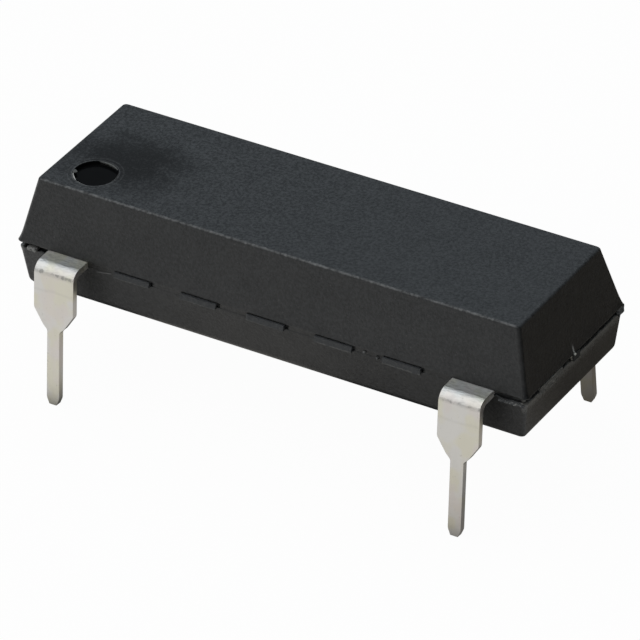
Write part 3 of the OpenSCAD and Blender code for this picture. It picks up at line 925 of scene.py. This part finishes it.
def mark_cutters(size, compound, polished):
    """Cutters of the mark: its bowl with an eased mouth, and a faint groove round it."""
    mouth = size.mark_width / 2
    profile = [(size.mark_floor / 2, -size.mark_depth), (mouth - MOUTH_EASE, -2 * MOUTH_EASE)]
    for i in range(MOUTH_STEPS + 1):
        turn = math.radians(90) * i / MOUTH_STEPS
        profile.append((mouth - MOUTH_EASE * math.cos(turn), MOUTH_EASE * (math.sin(turn) - 1)))
    profile.append((mouth + 0.02, CUTTER_TOP))
    bowl = bmesh.new()
    rings = turned_rings(bowl, mark_place(size), profile)
    join_rings(bowl, rings)
    cap_rings(bowl, rings)
    groove = bmesh.new()
    rings = turned_rings(groove, mark_place(size) + GROOVE_SHIFT, [
        (GROOVE_RADIUS - GROOVE_HALF, CUTTER_TOP), (GROOVE_RADIUS, -GROOVE_DEPTH),
        (GROOVE_RADIUS + GROOVE_HALF, CUTTER_TOP)])
    join_rings(groove, rings + rings[:1])
    for bm in (bowl, groove):
        face_outwards(bm)
    return [mesh_of(bowl, polished), mesh_of(groove, compound)]


def mark_burrs(size, finish):
    """Slivers of flash in the mark's mouth, coloured light as painted highlights: pale ones at the
    corner and dull ones across.
    """
    place = mark_place(size)
    outer = size.mark_width / 2 + BURR_ROOT
    # Both colours here are painted highlights round the mark's mouth
    pale = broken_finish(finish, "burr_compound", finish.pale_flash_and_highlight, 1.0, BODY_HIGH.z)
    dull = broken_finish(finish, "rim_compound", finish.broken, 1.0, BODY_HIGH.z)
    burrs = []
    for start, end, wide, swell, is_pale_highlight in BURRS:
        bm = bmesh.new()
        rows = []
        for i in range(BURR_STEPS + 1):
            t = i / BURR_STEPS
            turn = math.radians(start + (end - start) * t)
            out = Vector((math.cos(turn), math.sin(turn), 0))
            ragged = 1 + 0.4 * wander(out * 9.0, 1.0, 3.5)
            inner = outer - (BURR_ROOT + wide + swell * math.sin(math.pi * t) * ragged)
            rows.append([bm.verts.new(place + out * radius + Vector((0, 0, height)))
                         for radius, height in ((outer, -0.08), (outer, -0.001),
                                                (inner, -0.008), (inner, -0.05))])
        join_rings(bm, rows)
        cap_rings(bm, rows)
        face_outwards(bm)
        burrs.append(mesh_of(bm, pale if is_pale_highlight else dull))
    return burrs


def broken_flash_tree():
    """Blocks in a row, each with a leaning face that noise breaks up, its top at z = 0."""
    nodes, into = geometry_tree("broken_flash", {
        "Count": "Int", "Pitch": "Float", "Width": "Float", "Height": "Float",
        "Reach": "Float", "Root": "Float", "Lean": "Float", "Break": "Float",
        "Seed": "Int", "Place": "Vector", "Turn": "Float", "Material": "Material"})
    row = nodes.add("GeometryNodeMeshLine", sockets={
        "Count": into["Count"], "Offset": nodes.vector(x=into["Pitch"]),
        "Start Location": nodes.vector(x=(into["Count"] - 1) * into["Pitch"] * -0.5)})
    depth = into["Reach"] + into["Root"]
    block = nodes.add("GeometryNodeMeshCube", sockets={
        "Size": nodes.vector(x=into["Width"], y=depth, z=into["Height"]),
        "Vertices X": 44, "Vertices Y": 9, "Vertices Z": 8})
    block = nodes.add("GeometryNodeTransform", sockets={
        "Geometry": block, "Translation": nodes.vector(
            y=(into["Root"] - into["Reach"]) * 0.5, z=into["Height"] * -0.5)})
    _, y, z = nodes.split(nodes.add("GeometryNodeInputPosition"))
    rise = nodes.clamp(z / into["Height"] + 1.0)
    outside = nodes.clamp(y / into["Reach"] * -1.0)
    lean = nodes.vector(y=rise * outside * into["Reach"] * into["Lean"])
    block = nodes.add("GeometryNodeSetPosition", sockets={"Geometry": block, "Offset": lean})
    sizes = nodes.add("FunctionNodeRandomValue", {"data_type": "FLOAT_VECTOR"}, {
        "Min": (0.96, 0.8, 0.92), "Max": (1.03, 1.1, 1.06), "Seed": into["Seed"]})
    blocks = nodes.add("GeometryNodeInstanceOnPoints", sockets={
        "Points": row, "Instance": block, "Scale": sizes})
    blocks = nodes.add("GeometryNodeRealizeInstances", sockets={"Geometry": blocks})
    place = nodes.add("GeometryNodeInputPosition")
    mask = nodes.clamp(nodes.split(place)[1] / into["Reach"] * -1.5)
    lumps = nodes.add("ShaderNodeTexNoise", {"noise_dimensions": "4D"}, {
        "Vector": place, "W": into["Seed"], "Scale": 7.0, "Detail": 3.0})
    shift = nodes.vector_math("SUBTRACT", lumps.output("Color"), (0.5, 0.5, 0.5))
    shift = nodes.scaled(shift, mask * into["Break"])
    blocks = nodes.add("GeometryNodeSetPosition", sockets={"Geometry": blocks, "Offset": shift})
    return end_tree(nodes, into, blocks, into["Place"])


def broken_pieces(size, flash, finish, compound):
    """What the mould left at the rim: stubs in both rows, the gate, flakes and crumbs."""
    tree = broken_flash_tree()
    top = PARTING_Z - flash.stub_drop
    side = size.rim_width / 2
    end = RIM_HALF_LENGTH
    stub = broken_finish(finish, "stub_compound", finish.broken, 0.5, top - flash.stub_height)
    pale = broken_finish(finish, "flake_compound", finish.pale_flash_and_highlight, 0.75, PARTING_Z - 0.5)
    dull = broken_finish(finish, "ledge_compound", finish.pale_flash_and_highlight, 0.55, PARTING_Z - 0.5)
    row = {"Count": 5, "Pitch": LEAD_PITCH, "Width": flash.stub_width,
           "Height": flash.stub_height, "Reach": flash.stub_out, "Root": 0.3, "Lean": 0.35,
           "Break": 0.07, "Material": stub}
    gate = {**row, "Count": 1, "Width": flash.gate_width, "Height": flash.gate_height,
            "Reach": flash.gate_out, "Lean": 0.3, "Break": 0.1, "Material": compound}
    flake = {**row, "Count": 1, "Width": 0.36, "Height": 0.12, "Reach": 0.08, "Break": 0.3,
             "Material": pale}
    ledge = {**flake, "Width": 0.9, "Height": 0.06, "Reach": 0.07, "Break": 0.12,
             "Material": dull}
    corner = {**ledge, "Width": 0.34, "Height": 0.28, "Reach": 0.03, "Break": 0.06}
    crumb = {**ledge, "Width": 0.1, "Height": 0.07, "Reach": 0.04, "Break": 0.1}
    # Each piece, the middle of its upper edge and its turn. The seed counts on from row to row
    plans = (
        (row, (-flash.stub_shift, -side, top), 0),
        (row, (-flash.stub_shift, side, top), math.pi),
        (gate, (end, -flash.gate_y, PARTING_Z - 0.02), math.pi / 2),
        (flake, (-9.02, -side, PARTING_Z - 0.1), 0),
        (ledge, (9.05, -side, PARTING_Z - 0.2), 0),
        (corner, (end, side - 0.2, PARTING_Z + 0.02), math.pi / 2),
        (crumb, (3.62, -side, PARTING_Z - 0.05), 0),
        (crumb, (4.1, -side, PARTING_Z - 0.12), 0),
    )
    return [run_tree(tree, bpy.data.meshes.new("row"),
                     {**values, "Place": place, "Turn": turn, "Seed": flash.seed + k})
            for k, (values, place, turn) in enumerate(plans)]


def build_moulding(settings):
    """The moulded body, hollow where the frame and the quartz unit were cast in."""
    size = in_mm(settings.moulding)
    flash = in_mm(settings.flash)
    leads = in_mm(settings.leads)
    compound = compound_finish(settings.finish, size)
    skin = moulding_skin(size, flash, leads, compound)
    skin = combine(skin, "UNION", broken_pieces(size, flash, settings.finish, compound))
    polished = mark_finish(settings.finish)
    skin = combine(skin, "DIFFERENCE", mark_cutters(size, compound, polished))
    skin = combine(skin, "UNION", mark_burrs(size, settings.finish))
    inner = [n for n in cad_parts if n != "moulded_body"]
    body = combine(skin, "DIFFERENCE", [mesh_of(solid_copy(n), compound) for n in inner])
    finish_piece("package_body", body, "moulding", "moulded_body")


# Leads
# Steps round each bend, round each corner of the outline and round each edge of the sheet
BEND_STEPS = 10
EASE_STEPS = 4
SHEET_EDGE_STEPS = 3


def eased(points, reach):
    """A line of points with each inner corner rounded."""
    def towards(corner, end):
        way = end - corner
        return corner + way.normalized() * min(reach, way.length / 2)

    line = [points[0]]
    for before, corner, after in zip(points, points[1:], points[2:]):
        a = towards(corner, before)
        b = towards(corner, after)
        for i in range(EASE_STEPS + 1):
            t = i / EASE_STEPS
            line.append(a.lerp(corner, t).lerp(corner.lerp(b, t), t))
    return line + [points[-1]]


def leg_outline(size):
    """Half width and length from the bend line of each row across the flat leg."""
    outer = size.bend_radius + SHEET_THICKNESS
    bend = math.radians(90) - size.splay
    bend_end_z = PARTING_Z - outer + size.bend_radius * math.cos(bend)
    start = outer * bend

    def run(height):
        return start + (bend_end_z - height) / math.sin(bend)

    rows = [Vector((size.shoulder_width / 2, start * i / BEND_STEPS))
            for i in range(1, BEND_STEPS)]
    corners = [Vector((width / 2, run(height))) for width, height in (
        (size.shoulder_width, bend_end_z), (size.shoulder_width, size.shoulder_z),
        (size.kink_width, size.kink_z), (size.pin_width, size.pin_length),
        (size.pin_width, size.tip_height), (size.tip_width, 0))]
    return rows + eased(corners, size.corner_ease)


def flat_blank(node, size, turned):
    """The lead as stamped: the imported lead's plan with its leg laid flat in front of it."""
    bm = solid_copy(node)
    bmesh.ops.delete(bm, geom=[f for f in bm.faces if f.normal.z < FLAT or any(
        abs(v.co.z - PARTING_Z) > MERGE for v in f.verts)], context="FACES")
    bmesh.ops.translate(bm, vec=(0, 0, -PARTING_Z), verts=bm.verts)
    if turned:
        bmesh.ops.rotate(bm, cent=(0, 0, 0), matrix=Matrix.Rotation(math.pi, 3, "Z"),
                         verts=bm.verts)
    bmesh.ops.dissolve_faces(bm, faces=bm.faces[:])
    ends = sorted((v for v in bm.verts if abs(v.co.y + size.bend_line) < MERGE),
                  key=lambda v: v.co.x)
    left, right = ends[0], ends[-1]
    middle = (left.co.x + right.co.x) / 2
    for half, run in leg_outline(size):
        row = [bm.verts.new((middle + side * half, -size.bend_line - run, 0))
               for side in (-1, 1)]
        bm.faces.new((left, row[0], row[1], right))
        left, right = row
    face_outwards(bm)
    if sum(f.normal.z for f in bm.faces) < 0:
        bmesh.ops.reverse_faces(bm, faces=bm.faces[:])
    return mesh_of(bm)


def formed_sheet_tree():
    """Gives a flat blank its thickness and folds its leg down over the bend line."""
    nodes, into = geometry_tree("formed_sheet", {
        "Blank": "Geometry", "Thickness": "Float", "Bend Line": "Float",
        "Bend Radius": "Float", "Bend Angle": "Float", "Height": "Float", "Turn": "Float",
        "Material": "Material"})
    lower = nodes.add("GeometryNodeFlipFaces", sockets={"Mesh": into["Blank"]})
    lower = nodes.add("GeometryNodeExtrudeMesh", {"mode": "FACES"}, {
        "Mesh": lower, "Offset": nodes.vector(z=into["Thickness"] * -1.0),
        "Offset Scale": 1.0, "Individual": False})
    sheet = nodes.add("GeometryNodeJoinGeometry", sockets={"Geometry": [into["Blank"], lower]})
    sheet = nodes.add("GeometryNodeMergeByDistance",
                      sockets={"Geometry": sheet, "Distance": MERGE})
    x, y, z = nodes.split(nodes.add("GeometryNodeInputPosition"))
    outer = into["Bend Radius"] + into["Thickness"]
    along = into["Bend Line"] * -1.0 - y
    past = nodes.math("MAXIMUM", along, 0.0)
    turn = nodes.math("MINIMUM", past / outer, into["Bend Angle"])
    rest = nodes.math("MAXIMUM", along - outer * into["Bend Angle"], 0.0)
    sine = nodes.math("SINE", turn)
    cosine = nodes.math("COSINE", turn)
    radius = outer + z
    reach = radius * sine + rest * cosine + nodes.math("MINIMUM", along, 0.0)
    folded = nodes.vector(x=x, y=into["Bend Line"] * -1.0 - reach,
                          z=radius * cosine - outer - rest * sine)
    sheet = nodes.add("GeometryNodeSetPosition", sockets={"Geometry": sheet, "Position": folded})
    return end_tree(nodes, into, sheet, nodes.vector(z=into["Height"]))


def eased_edges(mesh, width):
    """A sheet's mesh with its sharp edges rounded."""
    holder = scratch_object(mesh)
    bevel = holder.modifiers.new("edges", "BEVEL")
    bevel.width = width
    bevel.segments = SHEET_EDGE_STEPS
    bevel.limit_method = "ANGLE"
    bevel.angle_limit = SMOOTH_ANGLE
    return evaluated_mesh(holder)


def build_leads(settings):
    """The four leads, each stamped flat and folded, and the tabs of the quartz unit."""
    size = in_mm(settings.leads)
    plating = plating_finish(settings.finish, size)
    tree = formed_sheet_tree()
    for number, turned in ((1, False), (7, False), (8, True), (14, True)):
        node = f"lead_{number}"
        sheet = run_tree(tree, flat_blank(node, size, turned), {
            "Thickness": SHEET_THICKNESS, "Bend Line": size.bend_line,
            "Bend Radius": size.bend_radius, "Bend Angle": math.radians(90) - size.splay,
            "Height": PARTING_Z, "Turn": math.pi if turned else 0.0, "Material": plating})
        sheet = eased_edges(sheet, size.edge_radius)
        finish_piece(f"formed_{node}", sheet, "plated_frame", node)
    for node in ("crystal_tab_front", "crystal_tab_back"):
        dress(node, plating)


def build_quartz_unit(settings):
    """Finishes of the quartz unit's pieces."""
    finish = settings.finish
    dress("crystal_can", metal_finish("can_nickel", finish.nickel, 0.22, (1.5, 20.0, 20.0)))
    solder = metal_finish("header_solder", finish.solder, 0.3, (4.0, 4.0, 4.0))
    for node in ("crystal_header", "crystal_wire_front", "crystal_wire_back"):
        dress(node, solder)
    dress("crystal_seal", glass_finish("seal_glass", finish.glass, 0.35, 0.05, 1.52))
    dress("quartz_strip", glass_finish("lapped_quartz", finish.quartz, 0.6, 0.3, 1.54))
    silver = adhesive_finish(finish)
    for node in ("strip_dab_front", "strip_dab_back"):
        dress(node, silver)


def build_circuit(settings):
    """Finishes of the circuit die, its adhesive and its bond wires."""
    finish = settings.finish
    dress("die_attach", adhesive_finish(finish))
    dress("circuit_die", die_finish(finish))
    gold = metal_finish("bond_gold", finish.gold, 0.15, (6.0, 6.0, 6.0))
    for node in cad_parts:
        if node.startswith("bond_wire"):
            dress(node, gold)


# Studio
# Half the floor's width, in metres
FLOOR_HALF = 3.0
# Directions towards the lamps and towards the bright side of the room
KEY_DIRECTION = (-0.44, -0.55, 0.71)
TOP_DIRECTION = (-0.15, 0.35, 1)
ROOM_DIRECTION = Vector((-0.62, 0.1, 0.78)).normalized()
WHITE = (1, 1, 1, 1)
# Light of the softbox in front, and of the softbox overhead and the room
WARM_LIGHT = (1, 0.975, 0.93)
COOL_LIGHT = (0.84, 0.93, 1)


def camera_axes(studio):
    """Directions to the right of the camera, up and backwards, and its place."""
    a, e, r = studio.azimuth, studio.elevation, studio.roll
    back = Vector((math.sin(a) * math.cos(e), -math.cos(a) * math.cos(e), math.sin(e)))
    level = Vector((math.cos(a), math.sin(a), 0))
    steep = back.cross(level)
    right = level * math.cos(r) + steep * math.sin(r)
    up = steep * math.cos(r) - level * math.sin(r)
    return right, up, back, Vector((studio.target_x, 0, studio.target_z)) + back * studio.distance


def add_camera(studio):
    """The camera at the photograph's viewing angle."""
    data = bpy.data.cameras.new("camera")
    data.lens = studio.lens
    data.clip_start = 0.01
    camera = new_object("camera", data)
    right, up, back, place = camera_axes(studio)
    turn = Matrix((right, up, back)).transposed().to_4x4()
    camera.matrix_world = Matrix.Translation(place) @ turn
    bpy.context.scene.camera = camera


def add_softbox(name, direction, distance, side, power, tint):
    """A square lamp that faces the object from a direction, at a distance in metres."""
    data = bpy.data.lights.new(name, "AREA")
    data.size = side
    data.energy = power
    data.color = tint
    lamp = new_object(name, data)
    direction = Vector(direction).normalized()
    lamp.location = direction * distance
    lamp.rotation_euler = direction.to_track_quat("Z", "Y").to_euler()


def seen_directly(nodes):
    """1 for rays that should show the white background: from the camera or through glass."""
    path = nodes.add("ShaderNodeLightPath")
    return nodes.math("MAXIMUM", path, path.output("Is Transmission Ray"))


def add_floor(studio):
    """A pale floor that keeps shadows and shows white. Metal sees it dim in the object's shade."""
    material = bpy.data.materials.new("paper")
    nodes = emptied_nodes(material)
    x, y, _ = nodes.split(nodes.object_place())
    behind = nodes.band(x * 0.5 + y * 0.8, 4.5, 9.5)
    # Under the object it is dark, but less where light comes in between the leads
    gap = nodes.near(x, -3.2, 2.6, 4.3)
    under = (nodes.near(x, 0.0, 10.0, 12.0) * nodes.near(y, 0.0, 4.0, 6.0)
             * (0.94 - gap * 0.78 - nodes.band(x, 5.2, 6.4) * 0.22))
    # Close to the object it is dimmer and warmer
    close = nodes.near(y, 0.0, 6.0, 9.5) * nodes.near(x, 1.5, 7.0, 9.5)
    level = ((studio.floor_bright - behind * (studio.floor_bright - studio.floor_dark))
             * (1.0 - nodes.band(x, -10.0, 8.0) * 0.07) * (1.0 - under) * (1.0 - close * 0.25))
    front = nodes.mix(close, (1, 0.985, 0.955), (1, 0.96, 0.9))
    tint = nodes.mix(behind, front, (1, 0.86, 0.66))
    lit = nodes.add("ShaderNodeBsdfDiffuse", sockets={"Color": opaque(studio.paper)})
    white = nodes.add("ShaderNodeEmission", sockets={"Color": WHITE, "Strength": 1.0})
    sheen = nodes.add("ShaderNodeEmission", sockets={"Color": tint, "Strength": level})
    glossy = nodes.add("ShaderNodeLightPath").output("Is Glossy Ray")
    seen = nodes.add("ShaderNodeMixShader",
                     sockets={0: seen_directly(nodes) * 0.97, 1: lit, 2: white})
    shown = nodes.add("ShaderNodeMixShader", sockets={0: glossy * 0.9, 1: seen, 2: sheen})
    nodes.add("ShaderNodeOutputMaterial", sockets={"Surface": shown})
    bm = bmesh.new()
    bm.faces.new([bm.verts.new((sx * FLOOR_HALF, sy * FLOOR_HALF, 0)) for sx, sy in CORNERS])
    floor = new_object("floor", mesh_of(bm, material))


def add_room(studio):
    """A room that is bright on the left and dim on the right, and white to the camera."""
    world = bpy.data.worlds.new("room")
    bpy.context.scene.world = world
    nodes = emptied_nodes(world)
    direction = nodes.add("ShaderNodeTexCoord").output("Generated")
    facing = nodes.vector_math("DOT_PRODUCT", direction, ROOM_DIRECTION).output("Value")
    level = (nodes.band(facing, 0.0, 0.75) * (studio.room_bright - studio.room_dark)
             + studio.room_dark)
    room = nodes.add("ShaderNodeBackground",
                     sockets={"Color": opaque(COOL_LIGHT), "Strength": level})
    white = nodes.add("ShaderNodeBackground", sockets={"Color": WHITE, "Strength": 1.0})
    shown = nodes.add("ShaderNodeMixShader", sockets={0: seen_directly(nodes), 1: room, 2: white})
    nodes.add("ShaderNodeOutputWorld", sockets={"Surface": shown})


def build_studio(settings):
    """Camera, lamps, room and floor."""
    studio = settings.studio
    bpy.context.scene.view_settings.view_transform = "Standard"
    add_camera(studio)
    add_softbox("key", KEY_DIRECTION, 0.45, 0.6, studio.key_power, WARM_LIGHT)
    add_softbox("overhead", TOP_DIRECTION, 0.5, 0.4, studio.top_power, COOL_LIGHT)
    add_floor(studio)
    add_room(studio)


# Operators
class OSCILLATOR_OT_moulding(Operator):
    """Make the moulded body"""
    bl_idname = "oscillator.moulding"
    bl_label = "Moulded Body"

    def execute(self, context):
        build_moulding(context.scene.oscillator)
        return {"FINISHED"}


class OSCILLATOR_OT_leads(Operator):
    """Make the four formed leads"""
    bl_idname = "oscillator.leads"
    bl_label = "Leads"

    def execute(self, context):
        build_leads(context.scene.oscillator)
        return {"FINISHED"}


class OSCILLATOR_OT_quartz_unit(Operator):
    """Finish the quartz unit inside the body"""
    bl_idname = "oscillator.quartz_unit"
    bl_label = "Quartz Unit"

    def execute(self, context):
        build_quartz_unit(context.scene.oscillator)
        return {"FINISHED"}


class OSCILLATOR_OT_circuit(Operator):
    """Finish the circuit die and its bond wires"""
    bl_idname = "oscillator.circuit"
    bl_label = "Circuit"

    def execute(self, context):
        build_circuit(context.scene.oscillator)
        return {"FINISHED"}


class OSCILLATOR_OT_studio(Operator):
    """Set up the camera, the lamps and the floor"""
    bl_idname = "oscillator.studio"
    bl_label = "Studio"

    def execute(self, context):
        build_studio(context.scene.oscillator)
        return {"FINISHED"}


OPERATORS = (OSCILLATOR_OT_moulding, OSCILLATOR_OT_leads, OSCILLATOR_OT_quartz_unit,
             OSCILLATOR_OT_circuit, OSCILLATOR_OT_studio)


class OSCILLATOR_PT_pieces(Panel):
    """The oscillator's pieces and their settings"""
    bl_idname = "OSCILLATOR_PT_pieces"
    bl_label = "Crystal Oscillator"
    bl_space_type = "VIEW_3D"
    bl_region_type = "UI"
    bl_category = "Oscillator"

    def draw(self, context):
        for operator in OPERATORS:
            self.layout.operator(operator.bl_idname)
        settings = context.scene.oscillator
        for group in (settings.moulding, settings.flash, settings.leads, settings.finish,
                      settings.studio):
            box = self.layout.box()
            for name, _ in own_settings(group):
                box.prop(group, name)


CLASSES = (MouldingSettings, FlashSettings, LeadSettings, FinishSettings, StudioSettings,
           OscillatorSettings, *OPERATORS, OSCILLATOR_PT_pieces)


def register():
    for cls in CLASSES:
        bpy.utils.register_class(cls)
    bpy.types.Scene.oscillator = PointerProperty(type=OscillatorSettings)


def unregister():
    del bpy.types.Scene.oscillator
    for cls in reversed(CLASSES):
        bpy.utils.unregister_class(cls)


def main():
    register()
    bpy.ops.oscillator.moulding()
    bpy.ops.oscillator.leads()
    bpy.ops.oscillator.quartz_unit()
    bpy.ops.oscillator.circuit()
    bpy.ops.oscillator.studio()


if __name__ == "__main__":
    main()
